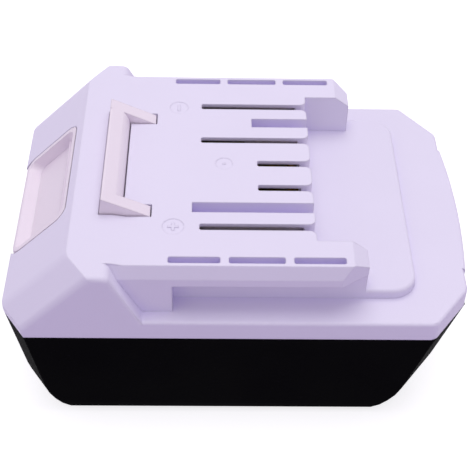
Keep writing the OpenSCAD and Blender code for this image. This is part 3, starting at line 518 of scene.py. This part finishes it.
mark_cutters = [mark_cutter(*mark) for mark in ROUND_MARKS]
upper_fillets = ((on_nose, NOSE_FILLET), (on_rear_corner, REAR_FILLET))
moulded_shell("upper_case", "upper_shell", "pack", "pale_case", upper_fillets, mark_cutters)
moulded_shell("lower_case", "lower_shell", "pack", "black_case")
moulded_shell("release_latch", "latch_moulding", "latch", "latch_plastic")


# Springs under the latch: half the wire's thickness, the turns in all, closed and opening at each end, what
# a closed turn climbs, and what an open turn adds to it
WIRE_HALF = 0.4 * MM
WIRE_SIDES = 12
COIL_POINTS = 225
COIL_TURNS = 7.0
CLOSED_TURNS = 0.9
OPENING_TURNS = 0.4
CLOSED_CLIMB = 2.05 * WIRE_HALF
OPEN_CLIMB = 1.4 * MM


def swept(name, centres, across, upward):
    """Mesh of rings centres[i] + across[i] cos(p) + upward[i] sin(p), joined in order along an open path with
    its two ends filled."""
    turn = np.linspace(0.0, 2.0 * np.pi, WIRE_SIDES, endpoint=False)[None, :, None]
    rings = centres[:, None] + across[:, None] * np.cos(turn) + upward[:, None] * np.sin(turn)
    first_end = np.arange(WIRE_SIDES)[::-1]
    last_end = (len(centres) - 1) * WIRE_SIDES + np.arange(WIRE_SIDES)
    faces = ring_quads(len(centres), WIRE_SIDES).tolist() + [first_end.tolist(), last_end.tolist()]
    mesh = bpy.data.meshes.new(name)
    mesh.from_pydata(rings.reshape(-1, 3).tolist(), [], faces)
    mesh.polygons.foreach_set("use_smooth", np.array([len(face) == 4 for face in faces]))
    return placed(name, mesh)


def latch_coil(side):
    """Compression spring with closed ends. The wire's middle turns at a steady rate and climbs by its own
    thickness a turn near each end, and evenly between."""
    node = f"latch_spring_{side}"
    low, high = (np.array(corner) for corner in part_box(node))
    radius = (high[0] - low[0]) / 2 - WIRE_HALF
    t = np.linspace(0.0, COIL_TURNS, COIL_POINTS)
    open_share = np.clip((np.minimum(t, COIL_TURNS - t) - CLOSED_TURNS) / OPENING_TURNS, 0.0, 1.0)
    climb = np.cumsum(CLOSED_CLIMB + OPEN_CLIMB * open_share)
    climb = (climb - climb[0]) / (climb[-1] - climb[0])
    angle = 2.0 * np.pi * t
    out = np.column_stack([np.cos(angle), np.sin(angle), 0.0 * angle])
    middle = (low + high) / 2
    centres = np.array([middle[0], middle[1], 0.0]) + radius * out
    centres[:, 2] = low[2] + WIRE_HALF + climb * (high[2] - low[2] - 2.0 * WIRE_HALF)
    along = np.gradient(centres, axis=0)
    along /= np.linalg.norm(along, axis=1, keepdims=True)
    coil = swept(f"latch_coil_{side}", centres, WIRE_HALF * out, WIRE_HALF * np.cross(along, out))
    add_piece(coil, "spring_steel", "pack", node)
    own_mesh(coil)


latch_coil("left")
latch_coil("right")


# Stage: half the floor's side, its drop below the pack, and the colours that floor and world lend the pack.
# Each lamp has a name, a place, a side and a power
FLOOR_HALF = 3.0
FLOOR_DROP = 0.2 * MM
FLOOR_LENDS = (0.58, 0.48, 0.69)
FLOOR_SEEN = (0.62, 0.62, 0.62)
FLOOR_GLOW = 0.72
WORLD_LENDS = (0.51, 0.47, 0.57)
WHITE = (1.0, 1.0, 1.0)
LAMPS = (
    ("top_lamp", (0.05, 0.16, 0.74), 0.6, 2.56),
    ("front_lamp", (-0.80, 0.0, 0.45), 0.5, 0.40),
    ("near_lamp", (0.15, -0.60, 0.60), 0.6, 0.42),
)


def white_floor():
    """White floor that keeps the pack's shadow, and lends the pack a tinted light."""
    corners = FLOOR_HALF * np.array([[-1, -1, 0], [1, -1, 0], [1, 1, 0], [-1, 1, 0]])
    corners[:, 2] = -FLOOR_DROP
    mesh = bpy.data.meshes.new("floor")
    mesh.from_pydata(corners.tolist(), [], [(0, 1, 2, 3)])
    floor = placed("floor", mesh)
    f = Finish("floor_white")
    path = f.tree.nodes.new("ShaderNodeLightPath")
    seen = f.math("MAXIMUM", path.outputs["Is Camera Ray"], path.outputs["Is Glossy Ray"])
    f.set(Base_Color=f.blend(seen, FLOOR_LENDS, FLOOR_SEEN), Roughness=0.9, Specular_IOR_Level=0.1)
    f.set(Emission_Color=(*WHITE, 1.0), Emission_Strength=f.math("MULTIPLY", seen, FLOOR_GLOW))
    mesh.materials.append(f.material)


def white_world():
    """World that is seen as white, and lends the pack a tinted light."""
    world = bpy.data.worlds.new("studio")
    scene.world = world
    world.use_nodes = True
    tree = world.node_tree
    path = tree.nodes.new("ShaderNodeLightPath")
    seen = tree.nodes.new("ShaderNodeMath")
    seen.operation = "MAXIMUM"
    tint = tree.nodes.new("ShaderNodeMix")
    tint.data_type = "RGBA"
    tint.inputs["A"].default_value = (*WORLD_LENDS, 1.0)
    tint.inputs["B"].default_value = (*WHITE, 1.0)
    tree.links.new(path.outputs["Is Camera Ray"], seen.inputs[0])
    tree.links.new(path.outputs["Is Glossy Ray"], seen.inputs[1])
    tree.links.new(seen.outputs["Value"], tint.inputs["Factor"])
    tree.links.new(tint.outputs["Result"], tree.nodes["Background"].inputs["Color"])


def broad_lamps():
    """Square lamps that all look at the origin."""
    for name, place, size, power in LAMPS:
        lamp = bpy.data.lights.new(name, "AREA")
        lamp.size = size
        lamp.energy = power
        thing = placed(name, lamp)
        thing.location = place
        thing.rotation_euler = Vector(place).to_track_quat("Z", "Y").to_euler()


white_floor()
white_world()
broad_lamps()
scene.view_settings.view_transform = "Standard"
